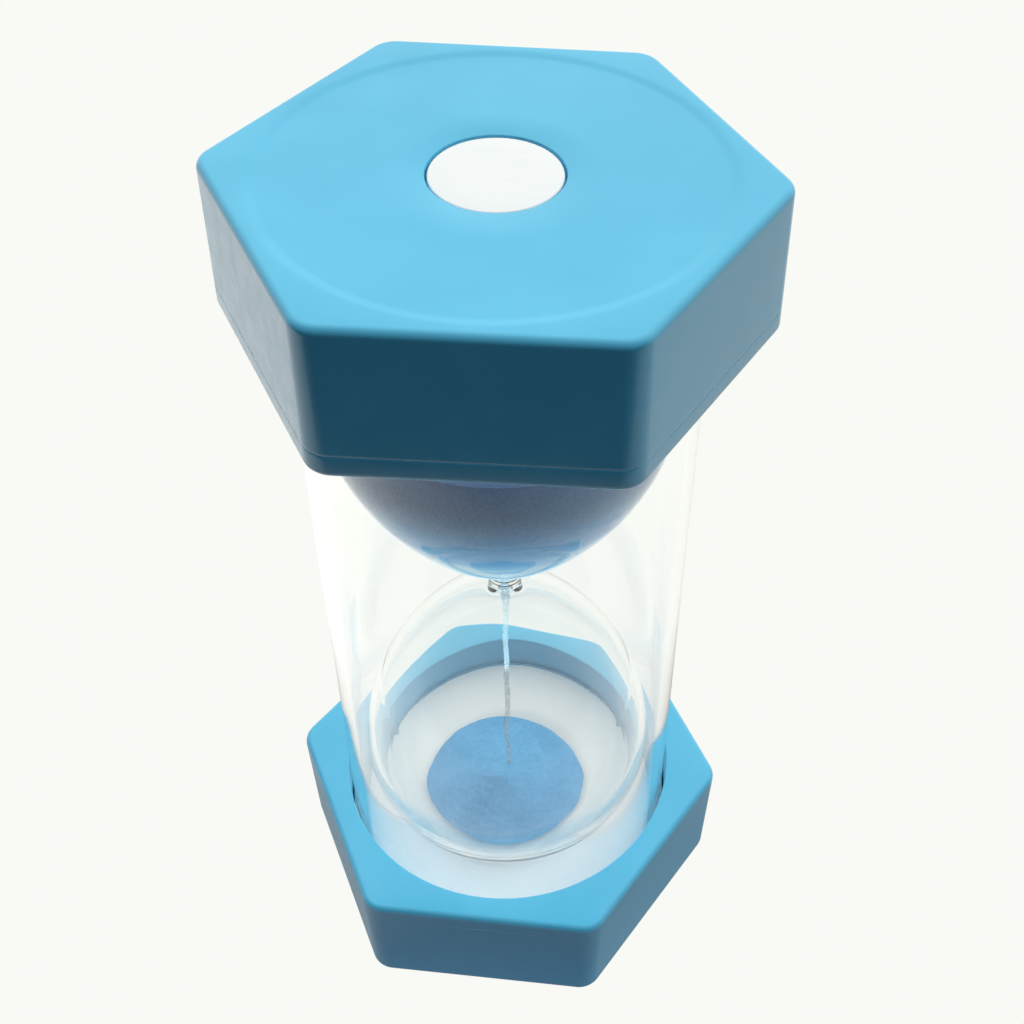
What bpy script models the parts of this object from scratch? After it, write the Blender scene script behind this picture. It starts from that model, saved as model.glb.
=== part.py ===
"""Sand timer with two hexagonal plastic caps, in metres, +Z up.

The timer stands on its lower cap with its axis on +Z and the middle of its
base at the origin. Each cap is a moulded cup closed by a lid ring with a round
socket. The clear outer tube and two glass bulbs stand between the foam pads in
the two sockets. The bulbs meet at a thin disc whose hole sets the flow of sand.
The upper cap is the lower cap turned over, so each cap piece is modelled once.
"""

import math

import bmesh
import bpy
from mathutils import Matrix

MM = 0.001

# Overall sizes
TOTAL_HEIGHT = 160.0 * MM
TUBE_DIAMETER = 62.0 * MM
CAP_HEIGHT = 24.1 * MM

# Clearances
GAP = 0.3 * MM              # between pieces that touch
TUBE_CLEARANCE = 0.6 * MM   # tube to socket, on the radius
SKIRT_CLEARANCE = 0.6 * MM  # socket skirt to cup wall
BULB_CLEARANCE = 1.7 * MM   # bulb to tube, on the radius

# Caps
CAP_WALL = 2.3 * MM
CAP_FLOOR = 2.8 * MM
CAP_DRAFT = math.radians(1.3)
CORNER_RADIUS = 4.5 * MM
FLOOR_EDGE_RADIUS = 1.4 * MM
LID_THICKNESS = 3.6 * MM
LID_EDGE_RADIUS = 1.6 * MM
SKIRT_WALL = 1.2 * MM
SOCKET_DEPTH = 7.6 * MM     # lid face down to the foam
BOSS_CLEARANCE = 0.5 * MM
PEG_RADIUS = 1.0 * MM
PEG_LENGTH = 8.0 * MM
RIB_THICKNESS = 1.6 * MM
HUB_RADIUS = 11.0 * MM
TWIST = math.radians(3.35)  # the upper cap's flats against the lower cap's

# End face
RECESS_BORDER = 0.4 * MM    # recess to the rounded edge of the flats
RECESS_DEPTH = 0.3 * MM
BADGE_RADIUS = 9.35 * MM
BADGE_THICKNESS = 0.8 * MM
BADGE_INSET = 0.2 * MM      # badge face below the recess floor
BADGE_EDGE = 0.15 * MM

# Foam and tube
FOAM_THICKNESS = 5.0 * MM
FOAM_EDGE = 0.4 * MM
BULB_SINK = 3.0 * MM        # depth of the foam's dish for the bulb's foot
TUBE_WALL = 2.0 * MM

# Glass
BULB_WALL = 1.5 * MM
HEEL_REACH = 19.5 * MM      # the bulb's oval foot, from its flat middle out
HEEL_RISE = 26.0 * MM       # and up
SIDE_LENGTH = 0.5 * MM      # straight side between foot and shoulder
NECK_LENGTH = 3.4 * MM
NECK_RADIUS = 2.9 * MM
SHOULDER_POWER = 1.45       # 2 is an ellipse, 1 a cone
NECK_BLEND = 4.0            # sharpness of the neck's fillet
DISC_THICKNESS = 0.6 * MM
DISC_HOLE_RADIUS = 0.6 * MM
COLLAR_WALL = 0.9 * MM
COLLAR_LOW = -0.4 * MM      # collar's ends, from the neck plane
COLLAR_HIGH = 2.2 * MM

# Sand
SAND_LEVEL = 46.0 * MM      # above the neck plane
CRATER_RADIUS = 14.0 * MM
CRATER_DEPTH = 7.0 * MM
HEAP_REACH = 18.4 * MM      # the mound's radius, beyond where it meets the glass
HEAP_HEIGHT = 8.4 * MM      # above the bulb's floor
HEAP_FOOT = 1.8 * MM        # the mound's height at its reach
HEAP_SLUMP = (-1.7 * MM, -3.8 * MM)
HEAP_POWER = 1.15           # 1 is a cone, more is a sharper peak
STREAM_TOP_RADIUS = 0.75 * MM
STREAM_FOOT_RADIUS = 0.4 * MM
STREAM_WOBBLE = 0.18        # how uneven the falling thread is
STREAM_TURNS = (5.1, 2.3)   # two beats that never line up along the thread

# Roundness
ROUND_STEPS = 40
SMALL_STEPS = 20
CORNER_SEGMENTS = 5
EDGE_SEGMENTS = 3
SHOULDER_POINTS = 10
HEEL_POINTS = 6
HEAP_POINTS = 6
STREAM_RINGS = 14
STREAM_STEPS = 10
SHOULDER_SPACING = 1.7      # above 1, points crowd towards the neck

# Sizes that follow from those above
NECK_PLANE = TOTAL_HEIGHT / 2
HOLE_RADIUS = TUBE_DIAMETER / 2 + TUBE_CLEARANCE
SKIRT_RADIUS = HOLE_RADIUS + SKIRT_WALL
FLOOR_INSIDE_APOTHEM = SKIRT_RADIUS + SKIRT_CLEARANCE
FLOOR_APOTHEM = FLOOR_INSIDE_APOTHEM + CAP_WALL
SPLIT_HEIGHT = CAP_HEIGHT - LID_THICKNESS
CUP_HEIGHT = SPLIT_HEIGHT - GAP
FOAM_TOP = CAP_HEIGHT - SOCKET_DEPTH
FOAM_BOTTOM = FOAM_TOP - FOAM_THICKNESS
RIB_TOP = FOAM_BOTTOM - GAP
TUBE_BOTTOM = FOAM_TOP + GAP
BULB_RADIUS = TUBE_DIAMETER / 2 - TUBE_WALL - BULB_CLEARANCE
BULB_LENGTH = NECK_PLANE - (FOAM_TOP - BULB_SINK + GAP)
NECK_END = DISC_THICKNESS / 2 + GAP
RECESS_RADIUS = FLOOR_APOTHEM - FLOOR_EDGE_RADIUS - RECESS_BORDER
POCKET_DEPTH = RECESS_DEPTH + BADGE_INSET + BADGE_THICKNESS + GAP

COS_30 = math.cos(math.radians(30))
BOSS_PLACE = (FLOOR_INSIDE_APOTHEM + SKIRT_RADIUS) / (1 + COS_30)
BOSS_RADIUS = BOSS_PLACE - SKIRT_RADIUS - BOSS_CLEARANCE
CORNER_ANGLES = [math.radians(60 * corner) for corner in range(6)]

# Colours (linear), roughness
BLUE_PLASTIC = ((0.055, 0.36, 0.62, 1.0), 0.42)
WHITE_PLASTIC = ((0.85, 0.86, 0.86, 1.0), 0.35)
WHITE_FOAM = ((0.78, 0.78, 0.77, 1.0), 0.9)
CLEAR_TUBE = ((0.93, 0.96, 0.96, 1.0), 0.04)
CLEAR_GLASS = ((0.9, 0.96, 0.95, 1.0), 0.02)
BLUE_SAND = ((0.13, 0.36, 0.55, 1.0), 0.95)


def clear_scene():
    for thing in list(bpy.data.objects):
        bpy.data.objects.remove(thing, do_unlink=True)


def new_collection(name):
    collection = bpy.data.collections.new(name)
    bpy.context.scene.collection.children.link(collection)
    return collection


def make_material(name, look, see_through=0.0):
    colour, roughness = look
    material = bpy.data.materials.new(name)
    material.use_nodes = True
    shader = material.node_tree.nodes["Principled BSDF"]
    shader.inputs["Base Color"].default_value = colour
    shader.inputs["Roughness"].default_value = roughness
    shader.inputs["Metallic"].default_value = 0.0
    shader.inputs["Transmission Weight"].default_value = see_through
    material.diffuse_color = colour
    return material


def mesh_object(bm, name, collection):
    mesh = bpy.data.meshes.new(name)
    bm.to_mesh(mesh)
    bm.free()
    thing = bpy.data.objects.new(name, mesh)
    collection.objects.link(thing)
    return thing


def bake(thing):
    """Turn an object's modifiers into its mesh."""
    bpy.context.view_layer.update()
    seen = thing.evaluated_get(bpy.context.evaluated_depsgraph_get())
    mesh = bpy.data.meshes.new_from_object(seen)
    thing.modifiers.clear()
    thing.data = mesh
    return thing


def combine(thing, other, operation):
    """Boolean another solid into this one, and keep the other as a guide."""
    cut = thing.modifiers.new(other.name, "BOOLEAN")
    cut.operation = operation
    cut.solver = "EXACT"
    cut.object = other
    other.hide_render = True
    other.display_type = "WIRE"
    return bake(thing)


def outside_apothem(height):
    """Distance from the axis to a cap's outer flat, at a height in the cap."""
    return FLOOR_APOTHEM + height * math.tan(CAP_DRAFT)


def hexagon(name, collection, low, high, inset, corner_radius, edge_radius=0.0, edge_height=0.0):
    """Six-sided drafted block with round corners and one rounded end."""
    low_apothem = outside_apothem(low) - inset
    high_apothem = outside_apothem(high) - inset
    bm = bmesh.new()
    bmesh.ops.create_cone(
        bm, cap_ends=True, segments=6, depth=high - low,
        radius1=low_apothem / COS_30, radius2=high_apothem / COS_30,
        matrix=Matrix.Translation((0, 0, (low + high) / 2)) @ Matrix.Rotation(math.radians(30), 4, "Z"))
    upright = [edge for edge in bm.edges if abs(edge.verts[0].co.z - edge.verts[1].co.z) > (high - low) / 2]
    bmesh.ops.bevel(
        bm, geom=upright, offset=corner_radius * math.tan(math.radians(30)), offset_type="OFFSET",
        segments=CORNER_SEGMENTS, profile=0.5, affect="EDGES", clamp_overlap=True)
    if edge_radius:
        rim = [edge for edge in bm.edges if all(abs(vert.co.z - edge_height) < GAP / 10 for vert in edge.verts)]
        bmesh.ops.bevel(
            bm, geom=rim, offset=edge_radius, offset_type="OFFSET",
            segments=EDGE_SEGMENTS, profile=0.5, affect="EDGES", clamp_overlap=True)
    return mesh_object(bm, name, collection)


def add_cylinder(bm, radius, low, high, x=0.0, y=0.0, steps=ROUND_STEPS):
    bmesh.ops.create_cone(
        bm, cap_ends=True, segments=steps, depth=high - low, radius1=radius, radius2=radius,
        matrix=Matrix.Translation((x, y, (low + high) / 2)))


def cylinder(name, collection, radius, low, high, steps=ROUND_STEPS):
    bm = bmesh.new()
    add_cylinder(bm, radius, low, high, steps=steps)
    return mesh_object(bm, name, collection)


def corner_posts(name, collection, radius, low, high):
    """Six small cylinders, one in each corner of a cap."""
    bm = bmesh.new()
    for angle in CORNER_ANGLES:
        add_cylinder(
            bm, radius, low, high, BOSS_PLACE * math.cos(angle), BOSS_PLACE * math.sin(angle), SMALL_STEPS)
    return mesh_object(bm, name, collection)


def radial_ribs(name, collection, inner, outer, low, high):
    """Six upright webs from the hub to the corner bosses."""
    bm = bmesh.new()
    middle = (inner + outer) / 2
    for angle in CORNER_ANGLES:
        place = Matrix.Rotation(angle, 4, "Z") @ Matrix.Translation((middle, 0, (low + high) / 2))
        size = Matrix.Diagonal((outer - inner, RIB_THICKNESS, high - low, 1))
        bmesh.ops.create_cube(bm, size=1.0, matrix=place @ size)
    return mesh_object(bm, name, collection)


def turned(name, collection, profile, steps=ROUND_STEPS, wall=0.0):
    """Turn a profile of (radius, height) points about Z, with a wall if it is a shell."""
    bm = bmesh.new()
    verts = [bm.verts.new((radius, 0, height)) for radius, height in profile]
    for upper, lower in zip(verts, verts[1:]):
        bm.edges.new((upper, lower))
    thing = mesh_object(bm, name, collection)
    screw = thing.modifiers.new("turn", "SCREW")
    screw.axis = "Z"
    screw.angle = math.radians(360)
    screw.steps = steps
    screw.render_steps = steps
    screw.use_merge_vertices = True
    screw.merge_threshold = 0.00001
    if wall:
        shell = thing.modifiers.new("wall", "SOLIDIFY")
        shell.thickness = wall
        shell.offset = -1.0
        shell.use_even_offset = True
        shell.use_quality_normals = True
    return bake(thing)


def ring(name, collection, inner, outer, low, high, steps=ROUND_STEPS):
    """Plain tube, turned from its closed section."""
    section = [(outer, high), (outer, low), (inner, low), (inner, high), (outer, high)]
    return turned(name, collection, section, steps)


def shoulder_radius(below):
    """Bulb's outer radius at a distance below the neck plane, down to its side."""
    length = BULB_LENGTH - HEEL_RISE - SIDE_LENGTH - NECK_LENGTH
    share = min(1.0, (NECK_LENGTH + length - below) / length)
    dome = BULB_RADIUS * max(0.0, 1 - share ** SHOULDER_POWER) ** (1 / SHOULDER_POWER)
    if dome == BULB_RADIUS:
        return dome
    return (NECK_RADIUS ** NECK_BLEND + dome ** NECK_BLEND) ** (1 / NECK_BLEND)


def bulb_profile():
    """Outside of a bulb from its mouth to the middle of its foot, below the neck plane."""
    shoulder_end = BULB_LENGTH - HEEL_RISE - SIDE_LENGTH
    points = [(NECK_RADIUS, -NECK_END)]
    for step in range(SHOULDER_POINTS + 1):
        share = (step / SHOULDER_POINTS) ** SHOULDER_SPACING
        below = NECK_LENGTH + (shoulder_end - NECK_LENGTH) * share
        points.append((shoulder_radius(below), -below))
    for step in range(HEEL_POINTS + 1):
        turn = math.radians(90) * step / HEEL_POINTS
        points.append((
            BULB_RADIUS - HEEL_REACH + HEEL_REACH * math.cos(turn),
            -(BULB_LENGTH - HEEL_RISE + HEEL_RISE * math.sin(turn))))
    points.append((0.0, -BULB_LENGTH))
    return points


def inward(profile, distance):
    """The same profile moved towards the axis and the inside by a distance."""
    moved = []
    for index, (radius, height) in enumerate(profile):
        before = profile[max(index - 1, 0)]
        after = profile[min(index + 1, len(profile) - 1)]
        along = (after[0] - before[0], after[1] - before[1])
        length = math.hypot(*along)
        normal = (along[1] / length, -along[0] / length)
        moved.append((max(radius + normal[0] * distance, 0.0), height + normal[1] * distance))
    return moved


def crossing(profile, axis, value):
    """First point at which a profile passes a radius (axis 0) or a height (axis 1)."""
    for first, second in zip(profile, profile[1:]):
        rise = second[axis] - first[axis]
        share = (value - first[axis]) / rise if rise else -1.0
        if 0.0 <= share <= 1.0:
            return tuple(start + share * (end - start) for start, end in zip(first, second))
    raise ValueError("the profile never reaches %.4f" % value)


def cap_cup(parts, guides):
    """Outer cup of a cap, its end face at height 0."""
    cup = hexagon("cup", parts, 0.0, CUP_HEIGHT, 0.0, CORNER_RADIUS, FLOOR_EDGE_RADIUS, 0.0)
    inside_corner = max(CORNER_RADIUS - CAP_WALL, GAP)
    cavity = hexagon("cup_cavity", guides, CAP_FLOOR, CUP_HEIGHT + LID_THICKNESS, CAP_WALL, inside_corner)
    combine(cup, cavity, "DIFFERENCE")
    hub = ring("cup_hub", guides, HUB_RADIUS - RIB_THICKNESS, HUB_RADIUS, CAP_FLOOR - GAP, RIB_TOP)
    ribs = radial_ribs("cup_ribs", guides, HUB_RADIUS - RIB_THICKNESS / 2, BOSS_PLACE, CAP_FLOOR - GAP, RIB_TOP)
    bosses = corner_posts("cup_bosses", guides, BOSS_RADIUS, CAP_FLOOR - GAP, CUP_HEIGHT)
    for support in (hub, ribs, bosses):
        combine(cup, support, "UNION")
    bore_bottom = SPLIT_HEIGHT - PEG_LENGTH - GAP
    bores = corner_posts("cup_bores", guides, PEG_RADIUS + GAP, bore_bottom, CUP_HEIGHT + GAP)
    recess = cylinder("cup_recess", guides, RECESS_RADIUS, -GAP, RECESS_DEPTH, ROUND_STEPS * 2)
    pocket = cylinder("cup_pocket", guides, BADGE_RADIUS + GAP, -GAP, POCKET_DEPTH)
    for hole in (bores, recess, pocket):
        combine(cup, hole, "DIFFERENCE")
    return cup


def cap_lid(parts, guides):
    """Ring that closes a cup, with the socket skirt and six corner pegs under it."""
    lid = hexagon("lid", parts, SPLIT_HEIGHT, CAP_HEIGHT, 0.0, CORNER_RADIUS, LID_EDGE_RADIUS, CAP_HEIGHT)
    skirt = cylinder("lid_skirt", guides, SKIRT_RADIUS, FOAM_BOTTOM, SPLIT_HEIGHT + GAP)
    pegs = corner_posts("lid_pegs", guides, PEG_RADIUS, SPLIT_HEIGHT - PEG_LENGTH, SPLIT_HEIGHT + GAP)
    for addition in (skirt, pegs):
        combine(lid, addition, "UNION")
    socket = cylinder("lid_socket", guides, HOLE_RADIUS, FOAM_BOTTOM - GAP, CAP_HEIGHT + GAP)
    return combine(lid, socket, "DIFFERENCE")


def badge(parts):
    """Round plate in the middle of an end face, below the plane the cap stands on."""
    low = RECESS_DEPTH + BADGE_INSET
    high = low + BADGE_THICKNESS
    profile = [
        (0.0, high), (BADGE_RADIUS, high), (BADGE_RADIUS, low + BADGE_EDGE),
        (BADGE_RADIUS - BADGE_EDGE, low), (0.0, low)]
    return turned("badge", parts, profile)


def foam_pad(parts, guides):
    """Soft disc on the ribs that the tube stands on, dished for the bulb's foot."""
    radius = HOLE_RADIUS - GAP
    profile = [
        (0.0, FOAM_TOP), (radius - FOAM_EDGE, FOAM_TOP), (radius, FOAM_TOP - FOAM_EDGE),
        (radius, FOAM_BOTTOM), (0.0, FOAM_BOTTOM)]
    pad = turned("foam", parts, profile)
    foot = [(radius, NECK_PLANE + height) for radius, height in inward(bulb_profile(), -GAP)]
    rim = crossing(foot, 1, FOAM_TOP + GAP)
    below = [point for point in foot if point[1] < rim[1]]
    dish = turned("foam_dish", guides, [(0.0, rim[1]), rim] + below)
    return combine(pad, dish, "DIFFERENCE")


def bulb(parts):
    """Glass bulb below the neck plane, open only at its mouth."""
    return turned("bulb", parts, bulb_profile(), wall=BULB_WALL)


def upper_sand(parts):
    """Sand left above the neck, with the crater that the flow draws down."""
    inside = [(radius, -height) for radius, height in inward(bulb_profile(), BULB_WALL + GAP)]
    wet = [point for point in inside if NECK_END < point[1] < SAND_LEVEL]
    mouth = (inside[0][0], NECK_END)
    rim = crossing(inside, 1, SAND_LEVEL)
    crater = [(0.0, SAND_LEVEL - CRATER_DEPTH), (CRATER_RADIUS, SAND_LEVEL)]
    return turned("sand", parts, crater + [rim] + wet[::-1] + [mouth, (0.0, NECK_END)])


def heap_height(distance):
    """Height of the mound above the bulb's inner floor, at a distance from its peak."""
    share = distance / HEAP_REACH
    return HEAP_FOOT + (HEAP_HEIGHT - HEAP_FOOT) * (1 - share) ** HEAP_POWER


def sand_heap(parts, guides):
    """Low mound in the lower bulb, slumped to one side."""
    inside = inward(bulb_profile(), BULB_WALL + GAP)
    floor = inside[-1][1]
    wall = crossing(inside, 1, floor + HEAP_HEIGHT + GAP)
    below = [point for point in inside if point[1] < wall[1]]
    bowl = turned("heap_bowl", guides, [(0.0, wall[1]), wall] + below)
    slope = []
    for step in range(HEAP_POINTS + 1):
        distance = HEAP_REACH * step / HEAP_POINTS
        slope.append((distance, floor + heap_height(distance)))
    under = floor - HEAP_FOOT
    mound = turned("heap", parts, slope + [(HEAP_REACH, under), (0.0, under)])
    mound.data.transform(Matrix.Translation((*HEAP_SLUMP, 0)))
    return combine(mound, bowl, "INTERSECT")


def sand_stream(parts):
    """Falling thread of sand from the disc's hole to the top of the heap."""
    floor = BULB_WALL + GAP - BULB_LENGTH
    foot = floor + heap_height(math.hypot(*HEAP_SLUMP)) + GAP
    head = -NECK_END
    profile = [(0.0, head)]
    for step in range(STREAM_RINGS + 1):
        share = step / STREAM_RINGS
        radius = STREAM_TOP_RADIUS + (STREAM_FOOT_RADIUS - STREAM_TOP_RADIUS) * share
        beat = math.sin(STREAM_TURNS[0] * step) * math.cos(STREAM_TURNS[1] * step)
        profile.append((radius * (1 + STREAM_WOBBLE * beat), head + (foot - head) * share))
    profile.append((0.0, foot))
    return turned("stream", parts, profile, STREAM_STEPS)


def finish(thing, name, material, place):
    """Name a solid, move its mesh to where it belongs and give it its material."""
    thing.name = name
    thing.data.name = name
    thing.data.transform(place)
    thing.data.materials.clear()
    thing.data.materials.append(material)
    thing.data.shade_smooth()
    thing.data.set_sharp_from_angle(angle=math.radians(32))
    return thing


def copy_of(thing, parts):
    twin = bpy.data.objects.new(thing.name, thing.data.copy())
    parts.objects.link(twin)
    return twin


def build():
    clear_scene()
    parts = new_collection("hourglass")
    guides = new_collection("cutters")
    blue = make_material("cap_plastic", BLUE_PLASTIC)
    white = make_material("badge_plastic", WHITE_PLASTIC)
    foam = make_material("foam", WHITE_FOAM)
    clear = make_material("tube_plastic", CLEAR_TUBE, 1.0)
    glass = make_material("bulb_glass", CLEAR_GLASS, 1.0)
    sand = make_material("sand", BLUE_SAND)

    as_modelled = Matrix.Identity(4)
    turned_over = Matrix.Rotation(math.radians(180), 4, "X")
    upper_place = Matrix.Rotation(TWIST, 4, "Z") @ Matrix.Translation((0, 0, TOTAL_HEIGHT)) @ turned_over
    at_neck = Matrix.Translation((0, 0, NECK_PLANE))

    cap_pieces = [
        (cap_cup(parts, guides), "cap_cup", blue),
        (cap_lid(parts, guides), "cap_lid", blue),
        (badge(parts), "cap_badge", white),
        (foam_pad(parts, guides), "foam_pad", foam)]
    for piece, name, material in cap_pieces:
        twin = copy_of(piece, parts)
        finish(piece, "bottom_" + name, material, as_modelled)
        finish(twin, "top_" + name, material, upper_place)

    tube = ring(
        "tube", parts, TUBE_DIAMETER / 2 - TUBE_WALL, TUBE_DIAMETER / 2,
        TUBE_BOTTOM, TOTAL_HEIGHT - TUBE_BOTTOM, ROUND_STEPS * 2)
    finish(tube, "outer_tube", clear, as_modelled)

    lower = bulb(parts)
    upper = copy_of(lower, parts)
    finish(lower, "lower_bulb", glass, at_neck)
    finish(upper, "upper_bulb", glass, at_neck @ turned_over)

    half_disc = DISC_THICKNESS / 2
    disc = ring("disc", parts, DISC_HOLE_RADIUS, NECK_RADIUS, -half_disc, half_disc, SMALL_STEPS)
    finish(disc, "orifice_disc", clear, at_neck)
    collar_bore = NECK_RADIUS + GAP
    collar = ring(
        "collar", parts, collar_bore, collar_bore + COLLAR_WALL,
        COLLAR_LOW, COLLAR_HIGH, SMALL_STEPS * 2)
    finish(collar, "neck_collar", clear, at_neck)

    finish(upper_sand(parts), "upper_sand", sand, at_neck)
    finish(sand_heap(parts, guides), "lower_sand_heap", sand, at_neck)
    finish(sand_stream(parts), "sand_stream", sand, at_neck)


build()
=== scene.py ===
"""Looks of the hexagonal-capped sand timer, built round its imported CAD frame."""

import math

import bmesh
import bpy
from mathutils import Matrix, Vector, noise


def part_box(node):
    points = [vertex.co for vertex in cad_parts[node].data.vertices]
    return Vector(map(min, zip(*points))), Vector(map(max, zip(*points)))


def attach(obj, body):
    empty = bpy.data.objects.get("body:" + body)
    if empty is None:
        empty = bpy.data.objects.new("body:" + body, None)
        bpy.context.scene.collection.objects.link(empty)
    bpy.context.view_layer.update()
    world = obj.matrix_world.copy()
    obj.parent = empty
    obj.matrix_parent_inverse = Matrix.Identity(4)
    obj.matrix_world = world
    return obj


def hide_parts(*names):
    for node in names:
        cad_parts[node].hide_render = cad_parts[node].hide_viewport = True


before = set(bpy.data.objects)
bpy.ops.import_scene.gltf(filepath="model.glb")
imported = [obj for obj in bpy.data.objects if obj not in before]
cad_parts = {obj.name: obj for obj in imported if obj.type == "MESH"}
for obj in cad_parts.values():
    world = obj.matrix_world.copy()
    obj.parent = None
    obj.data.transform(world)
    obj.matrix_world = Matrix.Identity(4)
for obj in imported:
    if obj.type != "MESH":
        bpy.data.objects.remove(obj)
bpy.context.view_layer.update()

MM = 0.001

# ---------------------------------------------------------------- sizes from the frame
CUP_LOW, CUP_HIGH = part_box("bottom_cap_cup")
LID_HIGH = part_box("bottom_cap_lid")[1]
FOAM_LOW, FOAM_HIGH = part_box("bottom_foam_pad")
BADGE_LOW, BADGE_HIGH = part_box("bottom_cap_badge")
TUBE_LOW, TUBE_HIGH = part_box("outer_tube")
BULB_LOW, BULB_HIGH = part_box("lower_bulb")
DISC_LOW, DISC_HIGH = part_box("orifice_disc")
COLLAR_LOW, COLLAR_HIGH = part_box("neck_collar")
SAND_LOW, SAND_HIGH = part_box("upper_sand")
STREAM_LOW, STREAM_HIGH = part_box("sand_stream")

TOTAL_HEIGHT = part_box("top_cap_cup")[1].z
NECK_PLANE = TOTAL_HEIGHT / 2
GAP = 0.3 * MM
COS_30 = math.cos(math.radians(30))

# ---------------------------------------------------------------- caps
CAP_DRAFT = math.radians(1.3)
CAP_WALL = 2.3 * MM
CAP_FLOOR = 2.8 * MM
CORNER_RADIUS = 4.5 * MM
CAD_FLOOR_EDGE = 1.4 * MM       # sets the recess, as in the frame
FLOOR_EDGE = 1.1 * MM           # the two outer edges are tighter than the frame's
LID_EDGE = 1.15 * MM
SKIRT_WALL = 1.2 * MM
SOCKET_EDGE = 0.35 * MM
SEAM_EDGE = 0.2 * MM
SEAM_GAP = 0.03 * MM            # the frame's 0.3 mm would show as a wide groove
SEAM_ROUND = 0.04 * MM
RECESS_DEPTH = 0.3 * MM
RECESS_BORDER = 0.4 * MM
RECESS_SLOPE = 2.2 * MM
TWIST = math.radians(3.35)

CUP_HEIGHT = CUP_HIGH.z
CAP_HEIGHT = LID_HIGH.z
FLOOR_APOTHEM = CUP_HIGH.y - CUP_HEIGHT * math.tan(CAP_DRAFT)
LID_UNDERSIDE = CUP_HEIGHT + SEAM_GAP
SKIRT_LOW = FOAM_LOW.z
HOLE_RADIUS = FOAM_HIGH.x + GAP
RECESS_RADIUS = FLOOR_APOTHEM - CAD_FLOOR_EDGE - RECESS_BORDER
POCKET_RADIUS = BADGE_HIGH.x + GAP
POCKET_DEPTH = BADGE_HIGH.z + GAP

CORNER_STEPS = 14
SIDE_STEPS = 12
EDGE_STEPS = 8

# ---------------------------------------------------------------- tube, glass and sand
TUBE_WALL = 2.0 * MM
TUBE_EDGE = 0.3 * MM
COLLAR_WALL = 0.35 * MM         # thinner than the frame's, which shows dark
COLLAR_EDGE = 0.12 * MM
DISC_HOLE_RADIUS = 0.6 * MM
BULB_WALL = 1.5 * MM
BULB_SPACING = 0.5 * MM         # between points along the bulb's outline
BLEND_ROUNDS = 60               # easing of the foot into the shoulder
BLEND_REACH = 12.0 * MM
HEEL_REACH = 19.5 * MM
HEEL_RISE = 26.0 * MM
SIDE_LENGTH = 0.5 * MM
NECK_LENGTH = 3.4 * MM
SHOULDER_POWER = 1.45
NECK_BLEND = 4.0
BULB_RADIUS = BULB_HIGH.x
BULB_LENGTH = NECK_PLANE - BULB_LOW.z
NECK_RADIUS = DISC_HIGH.x
NECK_END = NECK_PLANE - BULB_HIGH.z
SAND_GAP = 0.1 * MM             # heap to glass
SAND_TOUCH = 0.05 * MM          # upper sand into the glass, so that no film of air shows
FOAM_TOUCH = 0.1 * MM           # foam to glass
FOAM_LIP = 0.35 * MM
HEAP_REACH = 18.4 * MM
HEAP_HEIGHT = 8.4 * MM
HEAP_FOOT = 1.8 * MM
HEAP_POWER = 1.15
HEAP_PEAK = (-1.7 * MM, -3.8 * MM)
CRATER_RADIUS = 14.0 * MM
CRATER_DEPTH = 7.0 * MM
# heights on the upper sand where the painted light near the neck is full and where it ends
PAINTED_LIGHT_FULL_LEVEL = NECK_PLANE + 22 * MM
PAINTED_LIGHT_END_LEVEL = NECK_PLANE + 29 * MM
ROUND_STEPS = 160
HEAP_RINGS = 56
HEAP_SEARCH_STEP = 0.05 * MM
CRATER_STEPS = 30
STREAM_RINGS = 150
STREAM_STEPS = 14

# ---------------------------------------------------------------- light and camera
PAPER = (0.947, 0.955, 0.913, 1)
GLASS_SHEEN = (0.4, 0.4, 0.4, 1)    # weaker reflections than real glass has
SEEN_THROUGH = 1.04             # floor and sky, as seen through the glass
SKY_FRONT_MIRRORED = 0.25       # front of the sky, to reflected and refracted rays
POOL_TINT = (0.30, 0.68, 1.0, 1)
DIM_SKY_TINT = (0.25, 0.62, 1.0, 1)
FLOOR_NEAR = 0.28               # light that the floor gives the timer, close by and far off
FLOOR_FAR = 0.0
# floor as seen in reflections: painted shade close by and in front, painted light on the left
PAINTED_SHADE_CLOSE_MIRRORED = 0.35
PAINTED_SHADE_FRONT_MIRRORED = 0.05
PAINTED_LIGHT_LEFT_MIRRORED = 1.35
SKY_BRIGHT = 1.87               # light that the sky gives the timer, from its bright and dark sides
SKY_DARK = 0.0
SKY_TOWARDS = (0.112, 0.633, 0.766)
GLOW_SIZE = 50 * MM
GLOW_POWER = 0.06
GLOW_PLACE = (0.0, -10 * MM, NECK_PLANE - 28 * MM)
CAMERA_ANGLES = (3.298, 43.134, 2.80)       # degrees: round, up and roll
CAMERA_TARGET = (0.1029, 0.0521, 0.6493)    # in total heights
CAMERA_DISTANCE = 1.4626                    # in total heights
CAMERA_SHIFT = (-0.0940, -0.0680)
CAMERA_LENS = 49.59


# ================================================================ mesh tools
def mesh_object(bm, name, smooth_angle=35):
    mesh = bpy.data.meshes.new(name)
    bmesh.ops.recalc_face_normals(bm, faces=bm.faces)
    bm.to_mesh(mesh)
    bm.free()
    mesh.shade_smooth()
    mesh.set_sharp_from_angle(angle=math.radians(smooth_angle))
    thing = bpy.data.objects.new(name, mesh)
    bpy.context.scene.collection.objects.link(thing)
    return thing


def loft(rings, closed=False):
    """Skin a list of rings of points. A ring of one point is a pole."""
    bm = bmesh.new()
    rows = [[bm.verts.new(point) for point in ring] for ring in rings]
    pairs = list(zip(rows, rows[1:]))
    if closed:
        pairs.append((rows[-1], rows[0]))
    for first, second in pairs:
        count = max(len(first), len(second))
        for index in range(count):
            after = (index + 1) % count
            if len(first) == 1:
                bm.faces.new((first[0], second[after], second[index]))
            elif len(second) == 1:
                bm.faces.new((first[index], first[after], second[0]))
            else:
                bm.faces.new((first[index], first[after], second[after], second[index]))
    return bm


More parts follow.
